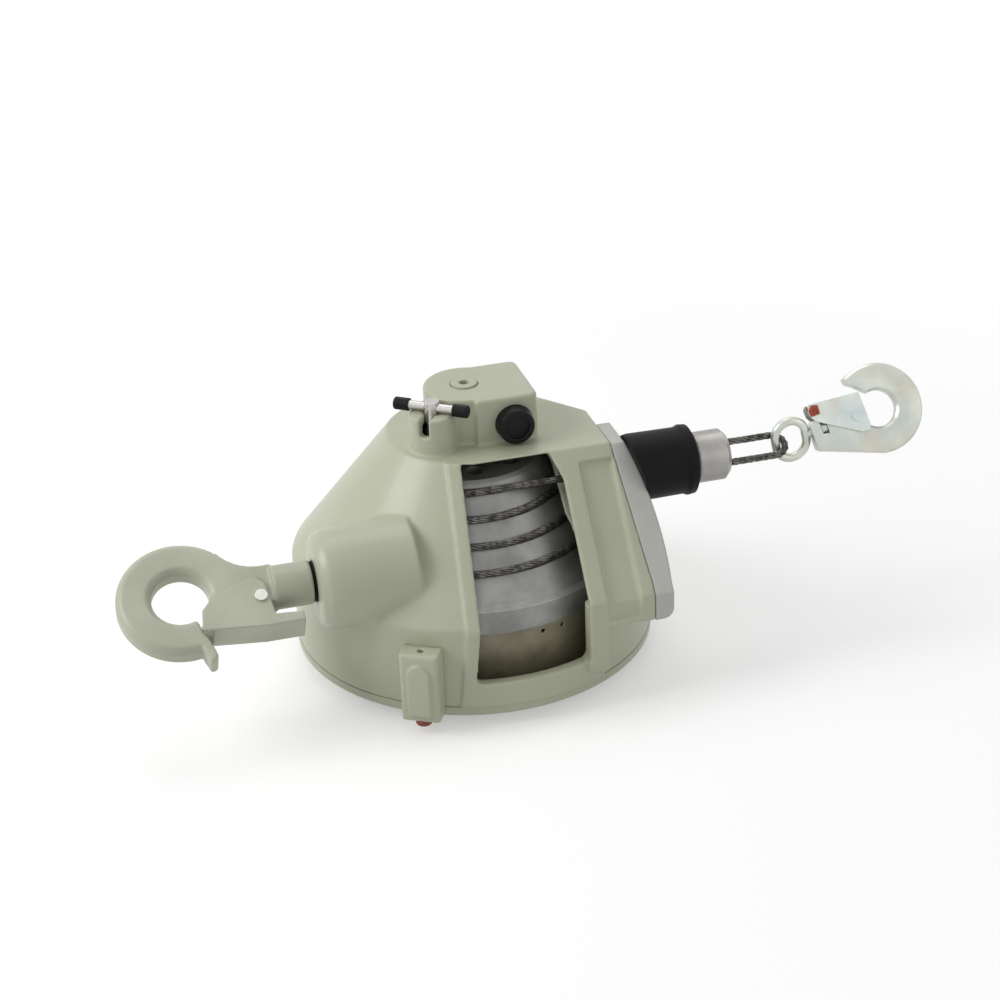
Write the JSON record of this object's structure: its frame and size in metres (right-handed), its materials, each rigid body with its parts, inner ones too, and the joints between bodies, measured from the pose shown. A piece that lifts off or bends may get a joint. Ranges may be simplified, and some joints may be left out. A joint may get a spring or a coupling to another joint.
{
  "type": "spring tool balancer",
  "caption": "Spring balancer: conical housing with a window on a cable drum, swivelling hook, cable guide, rubber stop, socket and snap hook.",
  "frame": {"origin": "on the drum's axis, at the rear hub's flat rest face", "axes": "+Z is the drum's axis, away from the flat back; +X is the way the cable is pulled; -Y is the window side"},
  "size_m": [0.5311, 0.2378, 0.1852],
  "materials": {
    "castings": "light grey-green enamel on cast aluminium",
    "forged_hook": "light grey-green enamel on forged steel",
    "fasteners": "zinc plated",
    "nylon": "off-white nylon",
    "drum_cast": "cast, fine machined grooves",
    "bearing_steel": "ground",
    "pressed_steel": "olive varnish on pressed steel",
    "spring_steel": "blued",
    "shaft_steel": "turned",
    "bronze": "turned bronze",
    "black_plastic": "black, moulded",
    "bright_steel": "bright zinc",
    "rope": "galvanised wire rope",
    "rubber": "black rubber",
    "socket_alu": "turned, satin",
    "hook_zinc": "zinc, slightly iridescent",
    "gate_zinc": "zinc, slightly iridescent",
    "orange_plastic": "orange-red nylon",
    "red_plastic": "faded red plastic"
  },
  "bodies": {
    "housing": {"front_housing": "castings", "back_cover": "castings", "cover_screws": "fasteners", "hub_plate": "fasteners", "cable_guide": "nylon", "adjuster_cap": "black_plastic", "top_plug": "castings", "arrest_block": "castings", "pawl_pin": "shaft_steel", "hook_bush": "bronze", "hook_seal": "rubber", "lock_spring": "spring_steel", "button_spring": "spring_steel"},
    "drum": {"drum": "drum_cast", "drum_bearings": "bearing_steel", "spring_case": "pressed_steel", "spring_case_lid": "pressed_steel", "power_spring": "spring_steel", "wound_cable": "rope"},
    "spindle": {"spindle": "shaft_steel", "worm_wheel": "bronze"},
    "worm": {"worm": "shaft_steel"},
    "lock_slide": {"lock_collar": "shaft_steel"},
    "lock_handle": {"lock_pin": "bright_steel", "lock_bar": "bright_steel", "lock_bar_tips": "black_plastic"},
    "hook": {"suspension_hook": "forged_hook", "latch_pin": "hook_zinc", "latch_spring": "spring_steel", "thrust_washer": "bearing_steel", "hook_nut": "fasteners", "split_pin": "fasteners"},
    "latch": {"hook_latch": "forged_hook"},
    "cable_end": {"cable_run": "rope", "cable_eye": "rope", "bumper": "rubber", "cable_socket": "socket_alu"},
    "eye": {"swivel_eye": "hook_zinc"},
    "snap": {"snap_hook": "hook_zinc", "gate_spring": "spring_steel"},
    "gate": {"snap_gate": "gate_zinc", "gate_rivet": "gate_zinc"},
    "gate_slide": {"gate_lock": "orange_plastic", "lock_nub": "orange_plastic"},
    "pawl": {"arrest_pawl": "shaft_steel"},
    "button": {"reset_button": "red_plastic"}
  },
  "joints": [
    {"name": "drum_spin", "type": "hinge", "parent": "housing", "child": "drum", "pos_m": [0, 0, 0.1], "axis": [0, 0, 1], "range_deg": [0, 1260]},
    {"name": "cable_pull", "type": "slide", "parent": "housing", "child": "cable_end", "axis": [1, 0, 0], "range_m": [0, 1.61]},
    {"name": "spindle_turn", "type": "hinge", "parent": "housing", "child": "spindle", "pos_m": [0, 0, 0.1], "axis": [0, 0, 1], "range_deg": [0, 360]},
    {"name": "worm_turn", "type": "hinge", "parent": "housing", "child": "worm", "pos_m": [0.024, 0, 0.166], "axis": [0, 1, 0], "range_deg": [0, 8640]},
    {"name": "lock_lift", "type": "slide", "parent": "housing", "child": "lock_slide", "axis": [0, 0, 1], "range_m": [0, 0.004], "stiffness_N_per_m": 400, "springref_m": -0.005, "deforming": ["lock_spring"]},
    {"name": "lock_turn", "type": "hinge", "parent": "lock_slide", "child": "lock_handle", "pos_m": [-0.027, -0.021, 0.1807], "axis": [0, 0, -1], "range_deg": [0, 36]},
    {"name": "hook_swivel", "type": "hinge", "parent": "housing", "child": "hook", "pos_m": [-0.116, -0.055, 0.09], "axis": [1, 0, 0], "continuous": true},
    {"name": "hook_latch", "type": "hinge", "parent": "hook", "child": "latch", "pos_m": [-0.1515, -0.06366, 0.085], "axis": [0, 0.5, -0.866], "range_deg": [0, 22], "stiffness_Nm_per_rad": 0.05, "springref_deg": -28.65},
    {"name": "eye_swing", "type": "hinge", "parent": "cable_end", "child": "eye", "pos_m": [0.1921, -0.054, 0.1335], "axis": [-0.2045, 0, 0.9789], "range_deg": [-35, 35]},
    {"name": "snap_swivel", "type": "hinge", "parent": "eye", "child": "snap", "pos_m": [0.21599, -0.054, 0.13849], "axis": [0.9789, 0, 0.2045], "continuous": true},
    {"name": "snap_gate", "type": "hinge", "parent": "snap", "child": "gate", "pos_m": [0.24633, -0.054, 0.14483], "axis": [-0.1084, -0.848, 0.5187], "range_deg": [0, 28], "stiffness_Nm_per_rad": 0.04, "springref_deg": -22.92},
    {"name": "gate_lock", "type": "slide", "parent": "gate", "child": "gate_slide", "axis": [0.9789, 0, 0.2045], "range_m": [0, 0.002], "stiffness_N_per_m": 200, "springref_m": -0.001},
    {"name": "pawl_swing", "type": "hinge", "parent": "housing", "child": "pawl", "pos_m": [-0.064, -0.10185, 0.029], "axis": [0, 0, -1], "range_deg": [0, 5]},
    {"name": "reset_button", "type": "slide", "parent": "housing", "child": "button", "axis": [0, 0, 1], "range_m": [0, 0.003], "stiffness_N_per_m": 400, "springref_m": -0.002, "deforming": ["button_spring"]}
  ],
  "couplings": [
    {"joint": "cable_pull", "follows": "drum_spin", "m_per_rad": 0.0729},
    {"joint": "worm_turn", "follows": "spindle_turn", "ratio": 24}
  ]
}
